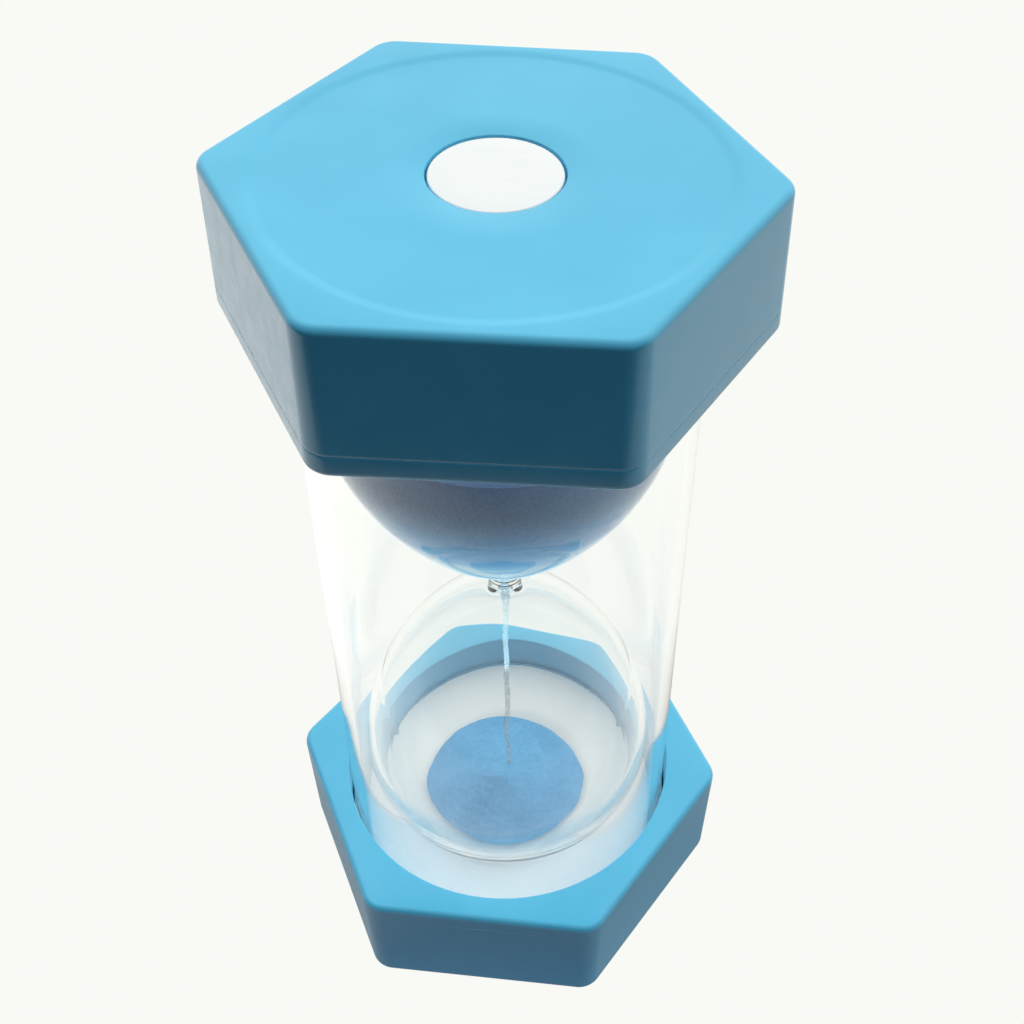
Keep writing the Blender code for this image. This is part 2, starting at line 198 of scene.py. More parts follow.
def circle(radius, height, steps=ROUND_STEPS):
    if radius < 1e-7:
        return [Vector((0, 0, height))]
    angles = [2 * math.pi * step / steps for step in range(steps)]
    return [Vector((radius * math.cos(a), radius * math.sin(a), height)) for a in angles]


def turned(profile, steps=ROUND_STEPS, closed=False):
    return loft([circle(radius, height, steps) for radius, height in profile], closed)


def hexagon(apothem, corner_radius, height):
    """Hexagon with round corners, a corner on +X, as one ring of points."""
    points = []
    centre = (apothem - corner_radius) / COS_30
    for corner in range(6):
        middle = math.radians(60 * corner)
        for step in range(CORNER_STEPS + 1):
            turn = middle + math.radians(60 * step / CORNER_STEPS - 30)
            points.append(Vector((
                centre * math.cos(middle) + corner_radius * math.cos(turn),
                centre * math.sin(middle) + corner_radius * math.sin(turn), height)))
        start = points[-1].copy()
        after = math.radians(60 * corner + 60)
        first_turn = math.radians(60 * corner + 30)
        end = Vector((
            centre * math.cos(after) + corner_radius * math.cos(first_turn),
            centre * math.sin(after) + corner_radius * math.sin(first_turn), height))
        for step in range(1, SIDE_STEPS):
            points.append(start.lerp(end, step / SIDE_STEPS))
    return points


def ring_like(pattern, radius, height):
    """Circle whose points face the points of another ring."""
    return [Vector((p.x, p.y, 0)).normalized() * radius + Vector((0, 0, height)) for p in pattern]


def outside_apothem(height):
    return FLOOR_APOTHEM + height * math.tan(CAP_DRAFT)


def side_ring(height, inset=0.0):
    """Ring of a cap's side at a height, moved in by an inset."""
    radius = max(CORNER_RADIUS - inset, 0.3 * MM)
    return hexagon(outside_apothem(height) - inset, radius, height)


def quarter(steps=EDGE_STEPS):
    """Angles of a quarter turn, both ends included."""
    return [math.radians(90) * step / steps for step in range(steps + 1)]


# ================================================================ caps
def cup_rings():
    """Rings over the end face, up the side, over the rim and down the inside."""
    pattern = side_ring(0.0)
    rings = [[Vector((0, 0, POCKET_DEPTH))]]
    for radius, height in (
            (POCKET_RADIUS * 0.5, POCKET_DEPTH), (POCKET_RADIUS - SEAM_EDGE, POCKET_DEPTH),
            (POCKET_RADIUS, POCKET_DEPTH - SEAM_EDGE), (POCKET_RADIUS, RECESS_DEPTH + SEAM_EDGE),
            (POCKET_RADIUS + SEAM_EDGE * 0.3, RECESS_DEPTH + SEAM_EDGE * 0.3),
            (POCKET_RADIUS + SEAM_EDGE, RECESS_DEPTH), (POCKET_RADIUS * 1.6, RECESS_DEPTH),
            (RECESS_RADIUS * 0.8, RECESS_DEPTH)):
        rings.append(ring_like(pattern, radius, height))
    for step in range(EDGE_STEPS + 1):
        share = step / EDGE_STEPS
        rise = share * share * (3 - 2 * share)
        radius = RECESS_RADIUS - RECESS_SLOPE * (1 - share)
        rings.append(ring_like(pattern, radius, RECESS_DEPTH * (1 - rise)))
    for turn in quarter():
        inset = FLOOR_EDGE * (1 - math.sin(turn))
        rings.append(side_ring(FLOOR_EDGE * (1 - math.cos(turn)), inset))
    rings.append(side_ring(FLOOR_EDGE * 1.3))
    rings.append(side_ring(CUP_HEIGHT / 2))
    rings.append(side_ring(CUP_HEIGHT - SEAM_EDGE * 2))
    rings.append(side_ring(CUP_HEIGHT - SEAM_ROUND))
    rings.append(side_ring(CUP_HEIGHT - SEAM_ROUND * 0.3, SEAM_ROUND * 0.3))
    rings.append(side_ring(CUP_HEIGHT, SEAM_ROUND))
    rings.append(side_ring(CUP_HEIGHT, CAP_WALL))
    rings.append(side_ring(CAP_FLOOR, CAP_WALL))
    rings.append(ring_like(pattern, RECESS_RADIUS * 0.6, CAP_FLOOR))
    rings.append([Vector((0, 0, CAP_FLOOR))])
    return rings


def lid_rings():
    """Rings up the outside, over the rounded edge, in to the socket and round the skirt."""
    pattern = side_ring(0.0)
    rings = [side_ring(LID_UNDERSIDE, SEAM_ROUND)]
    rings.append(side_ring(LID_UNDERSIDE + SEAM_ROUND * 0.3, SEAM_ROUND * 0.3))
    rings.append(side_ring(LID_UNDERSIDE + SEAM_ROUND))
    rings.append(side_ring(LID_UNDERSIDE + SEAM_EDGE * 2))
    for turn in quarter():
        height = CAP_HEIGHT - LID_EDGE * (1 - math.sin(turn))
        rings.append(side_ring(height, LID_EDGE * (1 - math.cos(turn))))
    for turn in quarter(5):
        radius = HOLE_RADIUS + SOCKET_EDGE * (1 - math.sin(turn))
        rings.append(ring_like(pattern, radius, CAP_HEIGHT - SOCKET_EDGE * (1 - math.cos(turn))))
    rings.append(ring_like(pattern, HOLE_RADIUS, SKIRT_LOW))
    rings.append(ring_like(pattern, HOLE_RADIUS + SKIRT_WALL, SKIRT_LOW))
    rings.append(ring_like(pattern, HOLE_RADIUS + SKIRT_WALL, LID_UNDERSIDE))
    return rings


def placed_cap(bm, upper):
    """Turn a piece of the lower cap over onto the upper one."""
    if upper:
        turned_over = Matrix.Rotation(math.radians(180), 4, "X")
        place = Matrix.Rotation(TWIST, 4, "Z") @ Matrix.Translation((0, 0, TOTAL_HEIGHT)) @ turned_over
        bmesh.ops.transform(bm, matrix=place, verts=bm.verts)
    return bm


def round_section(inner, outer, low, high, edge):
    """Section of a ring with rounded edges, each held by a point just beyond the rounding."""
    points = []
    for centre_r, centre_z, start in (
            (outer - edge, high - edge, 0), (inner + edge, high - edge, 90),
            (inner + edge, low + edge, 180), (outer - edge, low + edge, 270)):
        for step in range(6):
            turn = math.radians(start + 18 * step)
            points.append((centre_r + edge * math.cos(turn), centre_z + edge * math.sin(turn)))
    held = []
    for here, after in zip(points, points[1:] + points[:1]):
        held.append(here)
        length = math.hypot(after[0] - here[0], after[1] - here[1])
        if length > 2.5 * edge:
            for share in (0.5 * edge / length, 1 - 0.5 * edge / length):
                held.append((here[0] + share * (after[0] - here[0]), here[1] + share * (after[1] - here[1])))
    return held


def badge_profile():
    low, high = BADGE_LOW.z, BADGE_HIGH.z
    radius = BADGE_HIGH.x
    edge = 0.25 * MM
    profile = [(0.0, high), (radius, high)]
    for turn in quarter(5):
        profile.append((radius - edge * (1 - math.cos(turn)), low + edge * (1 - math.sin(turn))))
    profile += [(radius * 0.6, low), (0.0, low)]
    return profile


def foam_profile():
    edge = 0.6 * MM
    radius = FOAM_HIGH.x
    profile = [(0.0, FOAM_LOW.z), (radius, FOAM_LOW.z)]
    for turn in quarter(5):
        profile.append((radius - edge * (1 - math.cos(turn)), FOAM_HIGH.z - edge * (1 - math.sin(turn))))
    foot = at_neck(inward(blown_profile(), -FOAM_TOUCH))
    low = foot[-1][1]
    for step in range(1, 60):
        radius = (FOAM_HIGH.x - edge) * (1 - step / 60)
        glass = next((height for reach, height in foot[::-1] if reach >= radius), NECK_PLANE)
        above = (FOAM_HIGH.z - glass) / FOAM_LIP
        sunk = FOAM_LIP * math.log1p(math.exp(above)) if above < 30 else FOAM_HIGH.z - glass
        profile.append((radius, FOAM_HIGH.z - sunk))
    profile.append((0.0, low))
    return profile


# ================================================================ glass and sand
def shoulder_radius(below):
    length = BULB_LENGTH - HEEL_RISE - SIDE_LENGTH - NECK_LENGTH
    share = min(1.0, (NECK_LENGTH + length - below) / length)
    dome = BULB_RADIUS * max(0.0, 1 - share ** SHOULDER_POWER) ** (1 / SHOULDER_POWER)
    if dome == BULB_RADIUS:
        return dome
    return (NECK_RADIUS ** NECK_BLEND + dome ** NECK_BLEND) ** (1 / NECK_BLEND)


def bulb_profile(shoulder_points=44, heel_points=22):
    """Outside of a bulb, mouth to foot, below the neck plane."""
    shoulder_end = BULB_LENGTH - HEEL_RISE - SIDE_LENGTH
    points = [(NECK_RADIUS, -NECK_END), (NECK_RADIUS, -(NECK_END + NECK_LENGTH) / 2)]
    for step in range(shoulder_points + 1):
        below = NECK_LENGTH + (shoulder_end - NECK_LENGTH) * (step / shoulder_points) ** 1.7
        points.append((shoulder_radius(below), -below))
    for step in range(heel_points + 1):
        turn = math.radians(90) * step / heel_points
        points.append((
            BULB_RADIUS - HEEL_REACH + HEEL_REACH * math.cos(turn),
            -(BULB_LENGTH - HEEL_RISE + HEEL_RISE * math.sin(turn))))
    points.append((0.0, -BULB_LENGTH))
    return points


def inward(profile, distance):
    moved = []
    for index, (radius, height) in enumerate(profile):
        before = profile[max(index - 1, 0)]
        after = profile[min(index + 1, len(profile) - 1)]
        along = (after[0] - before[0], after[1] - before[1])
        length = math.hypot(*along)
        normal = (along[1] / length, -along[0] / length)
        moved.append((max(radius + normal[0] * distance, 0.0), height + normal[1] * distance))
    return moved


def at_neck(profile, flip=False):
    side = -1 if flip else 1
    return [(radius, NECK_PLANE + side * height) for radius, height in profile]


def evenly(points, spacing):
    """The same line with points at equal distances along it."""
    lengths = [math.dist(first, second) for first, second in zip(points, points[1:])]
    count = max(2, round(sum(lengths) / spacing))
    even, walked, index = [points[0]], 0.0, 0
    for step in range(1, count):
        target = sum(lengths) * step / count
        while walked + lengths[index] < target:
            walked += lengths[index]
            index += 1
        share = (target - walked) / lengths[index]
        first, second = points[index], points[index + 1]
        even.append(tuple(start + share * (end - start) for start, end in zip(first, second)))
    return even + [points[-1]]


def blown_profile():
    """Bulb's outside with the foot and the shoulder run into each other as blown glass does."""
    points = evenly(bulb_profile(200, 120), BULB_SPACING)
    middle = -(BULB_LENGTH - HEEL_RISE)
    for _ in range(BLEND_ROUNDS):
        eased = list(points)
        for index in range(1, len(points) - 1):
            if abs(points[index][1] - middle) < BLEND_REACH:
                trio = zip(*points[index - 1:index + 2])
                eased[index] = tuple((before + 2 * here + after) / 4 for before, here, after in trio)
        points = eased
    return points


def bulb_inside(more=0.0):
    outside = blown_profile()
    inside = inward(outside, BULB_WALL + more)
    inside[0] = (inside[0][0], outside[0][1])
    inside[-1] = (0.0, inside[-1][1])
    return inside


def bulb_mesh(flip):
    return turned(at_neck(bulb_inside()[::-1] + blown_profile(), flip))


def height_at(profile, radius):
    """Height of a bulb profile's foot at a radius."""
    for outer, inner in zip(profile, profile[1:]):
        if outer[1] < -BULB_LENGTH + HEEL_RISE and inner[0] <= radius <= outer[0]:
            share = (outer[0] - radius) / max(outer[0] - inner[0], 1e-9)
            return outer[1] + share * (inner[1] - outer[1])
    return profile[-1][1]


def heap_mesh():
    """Low mound slumped to one side, out to where it meets the glass."""
    bowl = bulb_inside(SAND_GAP)
    floor = bowl[-1][1]

    def ground(x, y):
        return height_at(bowl, math.hypot(x, y))

    def mound(distance, x, y):
        share = min(1.0, math.hypot(distance / HEAP_REACH, 0.06) - 0.06)
        lump = noise.noise(Vector((x * 170, y * 170, 4.2))) * 0.35 * MM
        lump += noise.noise(Vector((x * 900, y * 900, 1.3))) * 0.12 * MM
        return floor + HEAP_FOOT + lump + (HEAP_HEIGHT - HEAP_FOOT) * (1 - share) ** HEAP_POWER

    ways = []
    for step in range(ROUND_STEPS):
        turn = 2 * math.pi * step / ROUND_STEPS
        across, along = math.cos(turn), math.sin(turn)
        distance = 0.0
        while distance < HEAP_REACH:
            x, y = HEAP_PEAK[0] + across * distance, HEAP_PEAK[1] + along * distance
            if mound(distance, x, y) <= ground(x, y):
                break
            distance += HEAP_SEARCH_STEP
        ways.append((across, along, distance))

    def points(share, top):
        ring = []
        for across, along, reach in ways:
            x, y = HEAP_PEAK[0] + across * reach * share, HEAP_PEAK[1] + along * reach * share
            low = ground(x, y)
            high = max(low, mound(reach * share, x, y))
            ring.append(Vector((x, y, NECK_PLANE + (high if top else low))))
        return ring

    peak = Vector((*HEAP_PEAK, NECK_PLANE + mound(0.0, *HEAP_PEAK)))
    under = Vector((*HEAP_PEAK, NECK_PLANE + ground(*HEAP_PEAK)))
    rings = [[peak]] + [points(step / HEAP_RINGS, True) for step in range(1, HEAP_RINGS + 1)]
    rings += [points(share, False) for share in (0.97, 0.9, 0.8, 0.6, 0.4, 0.2)] + [[under]]
    return loft(rings)


def upper_sand_mesh():
    inside = [(radius, -height) for radius, height in bulb_inside(-SAND_TOUCH)]
    level = SAND_HIGH.z - NECK_PLANE
    start = SAND_LOW.z - NECK_PLANE
    wet = [point for point in inside if start < point[1] < level]
    rim = wet[-1][0]
    reach = [rim * step / CRATER_STEPS for step in range(CRATER_STEPS)]
    surface = [(radius, level - CRATER_DEPTH * max(0.0, 1 - radius / CRATER_RADIUS)) for radius in reach]
    profile = surface + [(rim, level)] + wet[::-1] + [(wet[0][0], start), (0.0, start)]
    return turned([(radius, NECK_PLANE + height) for radius, height in profile])


def stream_mesh():
    """Falling thread: an uneven core that wanders a little."""
    low, high = STREAM_LOW.z, STREAM_HIGH.z
    rings = [[Vector((0, 0, high))]]
    for index in range(STREAM_RINGS + 1):
        share = index / STREAM_RINGS
        height = high + (low - high) * share
        radius = (0.42 + 0.46 * max(0.0, 1 - share * 4.5)) * MM
        radius *= 1 + 0.40 * noise.noise(Vector((1.7, 0.0, height * 700)))
        sway = min(1.0, share * 5) * min(1.0, (1 - share) * 4)
        middle = Vector((
            noise.noise(Vector((7.1, 0.0, height * 75))) * 0.9 * MM * sway,
            noise.noise(Vector((0.0, 3.3, height * 75))) * 0.6 * MM * sway, height))
        ring = []
        for step in range(STREAM_STEPS):
            turn = 2 * math.pi * step / STREAM_STEPS
            out = Vector((math.cos(turn), math.sin(turn), 0))
            ragged = 1 + 0.35 * noise.noise(out * 1.5 + Vector((0, 0, height * 1600)))
            ring.append(middle + out * radius * ragged)
        rings.append(ring)
    rings.append([Vector((0, 0, low))])
    return loft(rings)


# ================================================================ materials
def new_material(name):
    material = bpy.data.materials.new(name)
    material.use_nodes = True
    tree = material.node_tree
    return material, tree.nodes, tree.links, tree.nodes["Principled BSDF"]


def place_node(nodes):
    return nodes.new("ShaderNodeTexCoord").outputs["Object"]


def noise_node(nodes, links, vector, scale, detail=3.0, roughness=0.55):
    texture = nodes.new("ShaderNodeTexNoise")
    texture.inputs["Scale"].default_value = scale
    texture.inputs["Detail"].default_value = detail
    texture.inputs["Roughness"].default_value = roughness
    links.new(vector, texture.inputs["Vector"])
    return texture.outputs["Fac"]


def ramp(nodes, links, value, low, high, to_low, to_high):
    node = nodes.new("ShaderNodeMapRange")
    node.inputs["From Min"].default_value = low
    node.inputs["From Max"].default_value = high
    node.inputs["To Min"].default_value = to_low
    node.inputs["To Max"].default_value = to_high
    links.new(value, node.inputs["Value"])
    return node.outputs["Result"]


def blend_colours(nodes, links, factor, first, second):
    mix = nodes.new("ShaderNodeMix")
    mix.data_type = "RGBA"
    links.new(factor, mix.inputs["Factor"])
    for socket, value in ((mix.inputs[6], first), (mix.inputs[7], second)):
        if isinstance(value, tuple):
            socket.default_value = value
        else:
            links.new(value, socket)
    return mix.outputs[2]


def blend_values(nodes, links, factor, first, second):
    mix = nodes.new("ShaderNodeMix")
    mix.data_type = "FLOAT"
    links.new(factor, mix.inputs[0])
    for socket, value in ((mix.inputs[2], first), (mix.inputs[3], second)):
        if isinstance(value, float):
            socket.default_value = value
        else:
            links.new(value, socket)
    return mix.outputs[0]


def multiply(nodes, links, first, second):
    node = nodes.new("ShaderNodeMath")
    node.operation = "MULTIPLY"
    links.new(first, node.inputs[0])
    links.new(second, node.inputs[1])
    return node.outputs[0]


def bump(nodes, links, height, strength, distance, normal=None):
    node = nodes.new("ShaderNodeBump")
    node.inputs["Strength"].default_value = strength
    node.inputs["Distance"].default_value = distance
    links.new(height, node.inputs["Height"])
    if normal is not None:
        links.new(normal, node.inputs["Normal"])
    return node.outputs["Normal"]


def cap_plastic():
    material, nodes, links, shader = new_material("cap_plastic_look")
    place = place_node(nodes)
    broad = noise_node(nodes, links, place, 60, 2)
    cloud = ramp(nodes, links, broad, 0.35, 0.65, 0.0, 1.0)
    base = blend_colours(nodes, links, cloud, (0.103, 0.560, 0.830, 1), (0.115, 0.590, 0.870, 1))
    links.new(base, shader.inputs["Base Color"])
    smear = noise_node(nodes, links, place, 350, 3)
    links.new(ramp(nodes, links, smear, 0.3, 0.7, 0.20, 0.27), shader.inputs["Roughness"])
    grain = noise_node(nodes, links, place, 2600, 2, 0.6)
    sink = noise_node(nodes, links, place, 45, 1)
    texture = bump(nodes, links, grain, 0.25, 0.00003)
    links.new(bump(nodes, links, sink, 0.15, 0.0004, texture), shader.inputs["Normal"])
    shader.inputs["Specular IOR Level"].default_value = 0.5
    return material


def badge_plastic():
    material, nodes, links, shader = new_material("badge_plastic_look")
    place = place_node(nodes)
    cloud = noise_node(nodes, links, place, 220, 3)
    base = blend_colours(nodes, links, cloud, (0.955, 0.955, 0.955, 1), (0.975, 0.975, 0.975, 1))
    links.new(base, shader.inputs["Base Color"])
    links.new(ramp(nodes, links, cloud, 0.3, 0.7, 0.26, 0.32), shader.inputs["Roughness"])
    grain = noise_node(nodes, links, place, 3000, 2)
    links.new(bump(nodes, links, grain, 0.12, 0.00002), shader.inputs["Normal"])
    return material


def foam_look():
    material, nodes, links, shader = new_material("foam_look")
    place = place_node(nodes)
    cells = nodes.new("ShaderNodeTexVoronoi")
    cells.inputs["Scale"].default_value = 2200
    links.new(place, cells.inputs["Vector"])
    cloud = noise_node(nodes, links, place, 120, 4)
    base = blend_colours(nodes, links, cloud, (0.86, 0.85, 0.845, 1), (0.95, 0.94, 0.935, 1))
    links.new(base, shader.inputs["Base Color"])
    shader.inputs["Roughness"].default_value = 0.92
    pits = bump(nodes, links, cells.outputs["Distance"], 0.3, 0.00012)
    links.new(bump(nodes, links, cloud, 0.35, 0.0004, pits), shader.inputs["Normal"])
    return material


def clear_look(name, tint, ior, streaks):
    """Clear plastic or glass that lets light through to what is inside."""
    material, nodes, links, shader = new_material(name)
    shader.inputs["Base Color"].default_value = tint
    shader.inputs["Transmission Weight"].default_value = 1.0
    shader.inputs["IOR"].default_value = ior
    shader.inputs["Specular Tint"].default_value = GLASS_SHEEN
    place = place_node(nodes)
    stretch = nodes.new("ShaderNodeMapping")
    stretch.inputs["Scale"].default_value = streaks
    links.new(place, stretch.inputs["Vector"])
    wave = noise_node(nodes, links, stretch.outputs["Vector"], 1.0, 1.5)
    links.new(bump(nodes, links, wave, 0.5, 0.000004), shader.inputs["Normal"])
    links.new(ramp(nodes, links, wave, 0.3, 0.7, 0.0, 0.02), shader.inputs["Roughness"])
    paths = nodes.new("ShaderNodeLightPath")
    pass_on = nodes.new("ShaderNodeMath")
    pass_on.operation = "MAXIMUM"
    links.new(paths.outputs["Is Shadow Ray"], pass_on.inputs[0])
    links.new(paths.outputs["Is Diffuse Ray"], pass_on.inputs[1])
    open_way = nodes.new("ShaderNodeBsdfTransparent")
    mix = nodes.new("ShaderNodeMixShader")
    links.new(pass_on.outputs[0], mix.inputs[0])
    links.new(shader.outputs[0], mix.inputs[1])
    links.new(open_way.outputs[0], mix.inputs[2])
    links.new(mix.outputs[0], nodes["Material Output"].inputs["Surface"])
    return material


def sand_look(name, dark, light, painted_neck_light=False):
    """Fine dyed grains; optionally with painted light near the neck, a paler streaked colour that stands in
    for light coming through the glass there.
    """
    material, nodes, links, shader = new_material(name)
    place = place_node(nodes)
    grains = nodes.new("ShaderNodeTexVoronoi")
    grains.inputs["Scale"].default_value = 3200
    links.new(place, grains.inputs["Vector"])
    tone = nodes.new("ShaderNodeSeparateColor")
    links.new(grains.outputs["Color"], tone.inputs["Color"])
    drift = noise_node(nodes, links, place, 160, 3)
    both = nodes.new("ShaderNodeMath")
    both.operation = "MULTIPLY_ADD"
    links.new(tone.outputs[0], both.inputs[0])
    both.inputs[1].default_value = 0.55
    links.new(ramp(nodes, links, drift, 0.3, 0.7, 0.0, 0.45), both.inputs[2])
    colour = blend_colours(nodes, links, both.outputs[0], dark, light)
    # Painted light: the colour turns paler and streaked towards the neck, standing in for light through the
    # glass.
    if painted_neck_light:
        apart = nodes.new("ShaderNodeSeparateXYZ")
        links.new(place, apart.inputs[0])
        painted_light_share = ramp(nodes, links, apart.outputs["Z"], PAINTED_LIGHT_FULL_LEVEL, PAINTED_LIGHT_END_LEVEL, 1.0, 0.0)
        flat = nodes.new("ShaderNodeMapping")
        flat.inputs["Scale"].default_value = (60, 60, 420)
        links.new(place, flat.inputs["Vector"])
        bands = noise_node(nodes, links, flat.outputs["Vector"], 1.0, 2)
        painted_light_streaks = ramp(nodes, links, bands, 0.35, 0.65, -0.45, 0.35)
        total = nodes.new("ShaderNodeMath")
        total.operation = "ADD"
        total.use_clamp = True
        links.new(painted_light_share, total.inputs[0])
        links.new(multiply(nodes, links, painted_light_streaks, painted_light_share), total.inputs[1])
        colour = blend_colours(nodes, links, total.outputs[0], colour, (0.78, 0.88, 0.90, 1))
    links.new(colour, shader.inputs["Base Color"])
    shader.inputs["Roughness"].default_value = 0.9
    shader.inputs["Specular IOR Level"].default_value = 0.25
    clumps = noise_node(nodes, links, place, 900, 2)
    pits = bump(nodes, links, grains.outputs["Distance"], 0.25, 0.00015)
    links.new(bump(nodes, links, clumps, 0.15, 0.0002, pits), shader.inputs["Normal"])
    return material


def falling_look():
    """Loose falling grains: light passes between them, less so at the top; the colour is painted pale lower
    down, as light from behind shining through, and darker near the neck.
    """
    material, nodes, links, shader = new_material("falling_sand_look")
    place = place_node(nodes)
    grains = nodes.new("ShaderNodeTexVoronoi")
    grains.inputs["Scale"].default_value = 2600
    links.new(place, grains.inputs["Vector"])
    apart = nodes.new("ShaderNodeSeparateXYZ")
    links.new(place, apart.inputs[0])
    fallen = ramp(nodes, links, apart.outputs["Z"], NECK_PLANE - 9 * MM, NECK_PLANE - 1 * MM, 0.0, 1.0)
    # Painted light: pale colour low in the thread for light from behind shining through it; darker near the
    # neck.
    colour = blend_colours(nodes, links, fallen, (0.60, 0.68, 0.68, 1), (0.20, 0.30, 0.36, 1))
    links.new(colour, shader.inputs["Base Color"])
    shader.inputs["Roughness"].default_value = 0.8
    shader.inputs["Specular IOR Level"].default_value = 0.2
    gaps = nodes.new("ShaderNodeBsdfTransparent")
    mix = nodes.new("ShaderNodeMixShader")
    open_share = ramp(nodes, links, fallen, 0.0, 1.0, 0.55, 0.12)
    speckle = ramp(nodes, links, grains.outputs["Distance"], 0.1, 0.6, -0.25, 0.3)
    total = nodes.new("ShaderNodeMath")
    total.operation = "ADD"
    total.use_clamp = True
    links.new(open_share, total.inputs[0])
    links.new(speckle, total.inputs[1])
    through = nodes.new("ShaderNodeBsdfTranslucent")
    through.inputs["Color"].default_value = (0.42, 0.44, 0.44, 1)
    body = nodes.new("ShaderNodeMixShader")
    links.new(ramp(nodes, links, fallen, 0.0, 1.0, 0.7, 0.35), body.inputs[0])
    links.new(shader.outputs[0], body.inputs[1])
    links.new(through.outputs[0], body.inputs[2])
    links.new(total.outputs[0], mix.inputs[0])
    links.new(body.outputs[0], mix.inputs[1])
    links.new(gaps.outputs[0], mix.inputs[2])
    links.new(mix.outputs[0], nodes["Material Output"].inputs["Surface"])
    return material


# ================================================================ stage
def add_stage():
    """Pale floor, seen evenly bright, that lights the timer only from a small pool round it; to reflections
    it shows painted shade round and in front of the timer and painted light on its left.
    """
    bm = bmesh.new()
    bmesh.ops.create_grid(bm, x_segments=1, y_segments=1, size=6.0)
    floor = mesh_object(bm, "floor")
    floor.location.z = CUP_LOW.z - 0.0002
    material = bpy.data.materials.new("floor_look")
    material.use_nodes = True
    nodes, links = material.node_tree.nodes, material.node_tree.links
    nodes.remove(nodes["Principled BSDF"])
    glow = nodes.new("ShaderNodeEmission")
    paths = nodes.new("ShaderNodeLightPath")
    place = nodes.new("ShaderNodeTexCoord")
    length = nodes.new("ShaderNodeVectorMath")
    length.operation = "LENGTH"
    links.new(place.outputs["Object"], length.inputs[0])
    apart = nodes.new("ShaderNodeSeparateXYZ")
    links.new(place.outputs["Object"], apart.inputs[0])
    pool = ramp(nodes, links, length.outputs["Value"], 0.05, 0.13, FLOOR_NEAR, FLOOR_FAR)
    # Seen in reflections only: painted shade close round the timer and in front of it, and painted light on
    # its left.
    shade = ramp(nodes, links, length.outputs["Value"], 0.045, 0.08, PAINTED_SHADE_CLOSE_MIRRORED, 1.0)
    front = ramp(nodes, links, apart.outputs["Y"], -0.175, -0.15, PAINTED_SHADE_FRONT_MIRRORED, 1.0)
    side = ramp(nodes, links, apart.outputs["X"], -0.06, 0.02, PAINTED_LIGHT_LEFT_MIRRORED, 1.0)
    mirrored = multiply(nodes, links, multiply(nodes, links, shade, front), side)
    bounced_off = nodes.new("ShaderNodeMath")
    bounced_off.operation = "SUBTRACT"
    bounced_off.use_clamp = True
    links.new(paths.outputs["Is Glossy Ray"], bounced_off.inputs[0])
    links.new(paths.outputs["Is Transmission Ray"], bounced_off.inputs[1])
    direct = ramp(nodes, links, paths.outputs["Is Transmission Ray"], 0.0, 1.0, 1.0, SEEN_THROUGH)
    seen = blend_values(nodes, links, bounced_off.outputs[0], direct, mirrored)
    lit = blend_values(nodes, links, paths.outputs["Is Diffuse Ray"], seen, pool)
    links.new(lit, glow.inputs["Strength"])
    tint = blend_colours(nodes, links, paths.outputs["Is Diffuse Ray"], PAPER, POOL_TINT)
    links.new(tint, glow.inputs["Color"])
    links.new(glow.outputs[0], nodes["Material Output"].inputs["Surface"])
    material.cycles.emission_sampling = "NONE"
    floor.data.materials.append(material)


def add_light():
    """Soft light from above and behind, dim and bluish from the front."""
    world = bpy.data.worlds.new("studio")
    bpy.context.scene.world = world
    world.use_nodes = True
    nodes, links = world.node_tree.nodes, world.node_tree.links
    backdrop = nodes["Background"]
    place = nodes.new("ShaderNodeTexCoord")
    dot = nodes.new("ShaderNodeVectorMath")
    dot.operation = "DOT_PRODUCT"
    links.new(place.outputs["Generated"], dot.inputs[0])
    dot.inputs[1].default_value = SKY_TOWARDS
    sky = ramp(nodes, links, dot.outputs["Value"], -0.1, 1.0, SKY_DARK, SKY_BRIGHT)
    paths = nodes.new("ShaderNodeLightPath")
    turned_to = ramp(nodes, links, dot.outputs["Value"], 0.0, 0.6, 0.0, 1.0)
    soft = blend_colours(nodes, links, turned_to, DIM_SKY_TINT, PAPER)
    colour = blend_colours(nodes, links, paths.outputs["Is Diffuse Ray"], PAPER, soft)
    links.new(colour, backdrop.inputs["Color"])
    apart = nodes.new("ShaderNodeSeparateXYZ")
    links.new(place.outputs["Generated"], apart.inputs[0])
    behind = ramp(nodes, links, apart.outputs["Y"], -0.3, 0.3, SKY_FRONT_MIRRORED, SEEN_THROUGH)
    seen = blend_values(nodes, links, paths.outputs["Is Camera Ray"], behind, 1.0)
    lit = blend_values(nodes, links, paths.outputs["Is Diffuse Ray"], seen, sky)
    links.new(lit, backdrop.inputs["Strength"])
    world.cycles.sampling_method = "NONE"


def add_glow():
    """Soft light thrown up from inside onto the sand in the upper bulb."""
    data = bpy.data.lights.new("glow", "AREA")
    data.shape = "DISK"
    data.size = GLOW_SIZE
    data.energy = GLOW_POWER
    data.color = (0.55, 0.85, 1.0)
    glow = bpy.data.objects.new("glow", data)
    glow.location = GLOW_PLACE
    glow.rotation_euler = (math.radians(180), 0, 0)
    for kind in ("camera", "glossy", "transmission"):
        setattr(glow, "visible_" + kind, False)
    bpy.context.scene.collection.objects.link(glow)


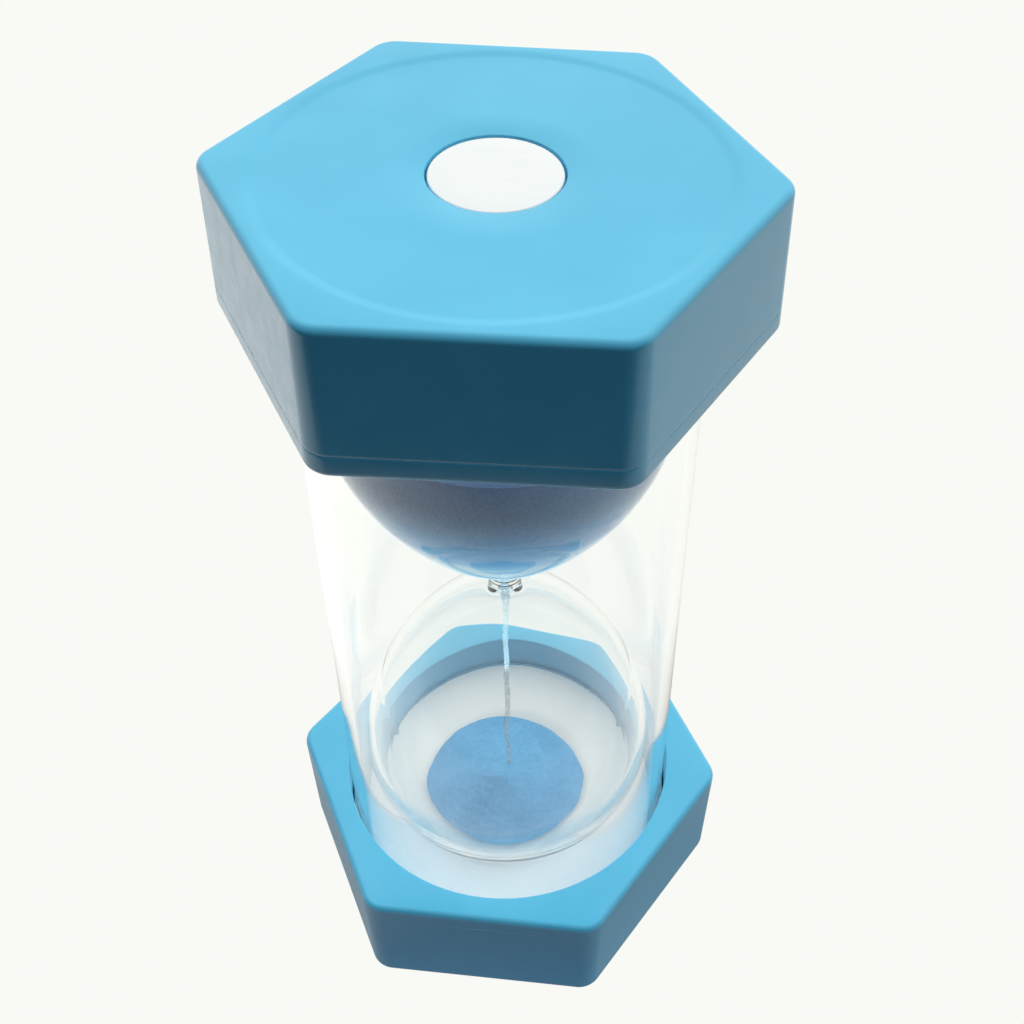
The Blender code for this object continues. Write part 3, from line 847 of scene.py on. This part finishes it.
def add_camera():
    """Camera high in front of the timer, close to it, in a frame cut from a wider view."""
    turn, lift, roll = (math.radians(angle) for angle in CAMERA_ANGLES)
    away = Vector((math.sin(turn) * math.cos(lift), -math.cos(turn) * math.cos(lift), math.sin(lift)))
    look = -away
    right = look.cross(Vector((0, 0, 1))).normalized()
    up = right.cross(look)
    right, up = (
        math.cos(roll) * right + math.sin(roll) * up, math.cos(roll) * up - math.sin(roll) * right)
    data = bpy.data.cameras.new("camera")
    data.sensor_width = 36.0
    data.lens = CAMERA_LENS
    data.shift_x, data.shift_y = CAMERA_SHIFT
    data.clip_start = 0.01
    camera = bpy.data.objects.new("camera", data)
    place = Matrix((right, up, away)).transposed().to_4x4()
    place.translation = Vector(CAMERA_TARGET) * TOTAL_HEIGHT + away * CAMERA_DISTANCE * TOTAL_HEIGHT
    camera.matrix_world = place
    bpy.context.scene.collection.objects.link(camera)
    bpy.context.scene.camera = camera


# ================================================================ pieces
def add_piece(bm, name, material, slot, *nodes, smooth_angle=35):
    piece = mesh_object(bm, name, smooth_angle)
    piece.data.materials.append(material)
    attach(piece, "root")
    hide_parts(*nodes)
    return piece


def build():
    blue = cap_plastic()
    white = badge_plastic()
    foam = foam_look()
    tube_look = clear_look("clear_tube_look", (0.985, 0.99, 0.985, 1), 1.49, (420, 420, 9))
    glass_look = clear_look("bulb_glass_look", (0.975, 0.99, 0.985, 1), 1.5, (70, 70, 55))
    sand = sand_look("sand_look", (0.045, 0.30, 0.58, 1), (0.13, 0.46, 0.77, 1))
    # The upper sand: the same blue sand with lighter colours, which is painted light, and painted light near
    # the neck.
    sand_painted_lighter = sand_look(
        "sand_painted_lighter_look", (0.05, 0.42, 0.80, 1), (0.14, 0.60, 0.95, 1), painted_neck_light=True)
    falling = falling_look()

    for side, upper in (("bottom", False), ("top", True)):
        add_piece(placed_cap(loft(cup_rings()), upper), side + "_cup", blue, "cap_plastic", side + "_cap_cup")
        add_piece(
            placed_cap(loft(lid_rings(), closed=True), upper), side + "_lid", blue, "cap_plastic",
            side + "_cap_lid")
        add_piece(
            placed_cap(turned(badge_profile()), upper), side + "_badge", white, "badge_plastic",
            side + "_cap_badge")
        pad = add_piece(
            placed_cap(turned(foam_profile()), upper), side + "_foam", foam, "foam", side + "_foam_pad")

    tube = turned(round_section(
        TUBE_HIGH.x - TUBE_WALL, TUBE_HIGH.x, TUBE_LOW.z, TUBE_HIGH.z, TUBE_EDGE), 256, closed=True)
    add_piece(tube, "tube", tube_look, "clear_tube", "outer_tube")

    add_piece(bulb_mesh(False), "lower_glass", glass_look, "bulb_glass", "lower_bulb")
    add_piece(bulb_mesh(True), "upper_glass", glass_look, "bulb_glass", "upper_bulb")

    disc = turned([
        (DISC_HIGH.x, DISC_HIGH.z), (DISC_HIGH.x, DISC_LOW.z),
        (DISC_HOLE_RADIUS, DISC_LOW.z), (DISC_HOLE_RADIUS, DISC_HIGH.z)], 64, closed=True)
    add_piece(disc, "flow_disc", tube_look, "clear_tube", "orifice_disc")
    collar = turned(round_section(
        COLLAR_HIGH.x - COLLAR_WALL, COLLAR_HIGH.x, COLLAR_LOW.z, COLLAR_HIGH.z, COLLAR_EDGE),
        96, closed=True)
    add_piece(collar, "collar", tube_look, "clear_tube", "neck_collar")

    add_piece(upper_sand_mesh(), "sand_above", sand_painted_lighter, "sand", "upper_sand")
    add_piece(heap_mesh(), "sand_below", sand, "sand", "lower_sand_heap")
    add_piece(stream_mesh(), "sand_falling", falling, "sand", "sand_stream")


def set_looks():
    scene = bpy.context.scene
    scene.view_settings.view_transform = "Standard"
    scene.view_settings.look = "None"
    scene.cycles.max_bounces = 24
    scene.cycles.transmission_bounces = 24
    scene.cycles.transparent_max_bounces = 24
    scene.cycles.diffuse_bounces = 5
    scene.cycles.glossy_bounces = 8


add_camera()
build()
add_stage()
add_light()
add_glow()
set_looks()
